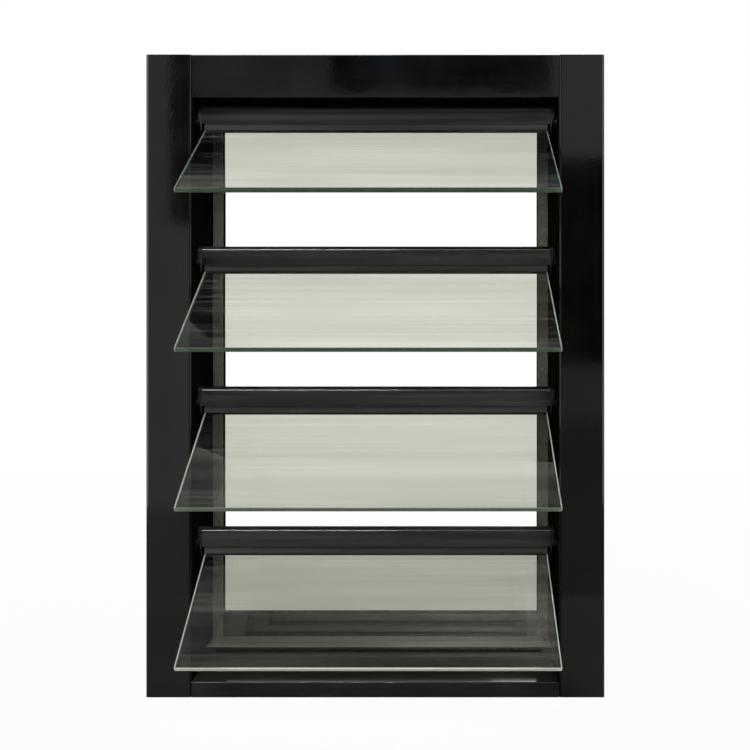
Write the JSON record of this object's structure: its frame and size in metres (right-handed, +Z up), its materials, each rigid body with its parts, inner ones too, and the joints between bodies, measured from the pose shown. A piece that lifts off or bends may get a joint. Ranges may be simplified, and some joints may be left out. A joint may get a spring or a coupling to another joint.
{
  "type": "jalousie window",
  "caption": "Black aluminium jalousie window whose clear glass louvres hang from pivoted rails and tilt together for air, in a hollow frame with a stepped sill.",
  "frame": {"origin": "middle of the sill's underside", "axes": "+X to the right seen from outside, +Y through the wall to the inside, +Z up"},
  "size_m": [0.45, 0.1741, 0.63],
  "materials": {
    "black_frame": "gloss black powder coat",
    "black_rail": "satin black powder coat",
    "black_bead": "satin black anodised",
    "black_nylon": "moulded black nylon",
    "clear_glass": "clear float glass with green ground edges"
  },
  "bodies": {
    "frame": {"left_jamb": "black_frame", "right_jamb": "black_frame", "head": "black_frame", "sill": "black_frame"},
    "louvre_1": {"glass_pane_1": "clear_glass", "blade_rail_1": "black_rail", "glazing_bead_1": "black_bead", "left_end_cap_1": "black_nylon", "right_end_cap_1": "black_nylon"},
    "louvre_2": {"glass_pane_2": "clear_glass", "blade_rail_2": "black_rail", "glazing_bead_2": "black_bead", "left_end_cap_2": "black_nylon", "right_end_cap_2": "black_nylon"},
    "louvre_3": {"glass_pane_3": "clear_glass", "blade_rail_3": "black_rail", "glazing_bead_3": "black_bead", "left_end_cap_3": "black_nylon", "right_end_cap_3": "black_nylon"},
    "louvre_4": {"glass_pane_4": "clear_glass", "blade_rail_4": "black_rail", "glazing_bead_4": "black_bead", "left_end_cap_4": "black_nylon", "right_end_cap_4": "black_nylon"}
  },
  "joints": [
    {"name": "louvre_1_tilt", "type": "hinge", "parent": "frame", "child": "louvre_1", "pos_m": [0, -0.027, 0.5675], "axis": [-1, 0, 0], "range_deg": [-39.5, 37.5]},
    {"name": "louvre_2_tilt", "type": "hinge", "parent": "frame", "child": "louvre_2", "pos_m": [0, -0.027, 0.4275], "axis": [-1, 0, 0], "range_deg": [-39.5, 37.5]},
    {"name": "louvre_3_tilt", "type": "hinge", "parent": "frame", "child": "louvre_3", "pos_m": [0, -0.027, 0.2875], "axis": [-1, 0, 0], "range_deg": [-39.5, 37.5]},
    {"name": "louvre_4_tilt", "type": "hinge", "parent": "frame", "child": "louvre_4", "pos_m": [0, -0.027, 0.1475], "axis": [-1, 0, 0], "range_deg": [-39.5, 37.5]}
  ],
  "couplings": [
    {"joint": "louvre_2_tilt", "follows": "louvre_1_tilt", "ratio": 1},
    {"joint": "louvre_3_tilt", "follows": "louvre_1_tilt", "ratio": 1},
    {"joint": "louvre_4_tilt", "follows": "louvre_1_tilt", "ratio": 1}
  ]
}
